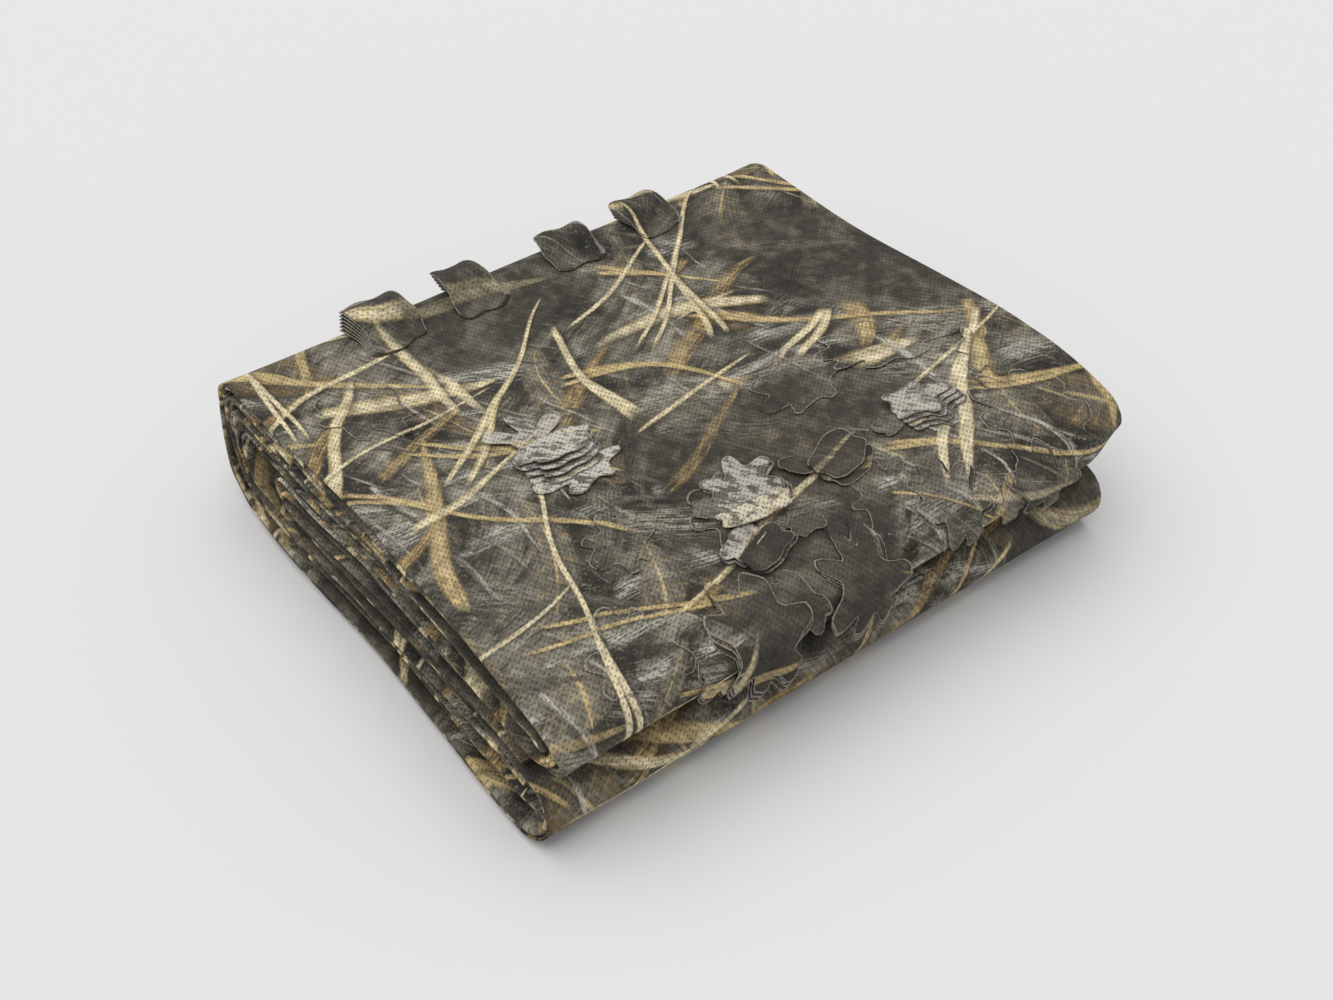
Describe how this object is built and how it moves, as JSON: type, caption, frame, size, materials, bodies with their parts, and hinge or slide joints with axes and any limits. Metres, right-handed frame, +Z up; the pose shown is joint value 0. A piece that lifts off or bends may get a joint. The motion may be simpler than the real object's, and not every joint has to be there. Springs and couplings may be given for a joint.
{
  "type": "folded camouflage blind cloth",
  "caption": "Folded packet of printed non-woven camouflage cloth with die-cut leaf flaps, lying flat with its fold spine at the back.",
  "frame": {"origin": "middle of the packet's box, on the surface that it lies on", "axes": "+X along the long side, +Y from the open front folds to the spine at the back, +Z up"},
  "size_m": [0.3768, 0.3222, 0.084],
  "materials": {
    "printed_cloth": null
  },
  "bodies": {
    "root": {"folded_cloth": "printed_cloth"}
  },
  "joints": []
}
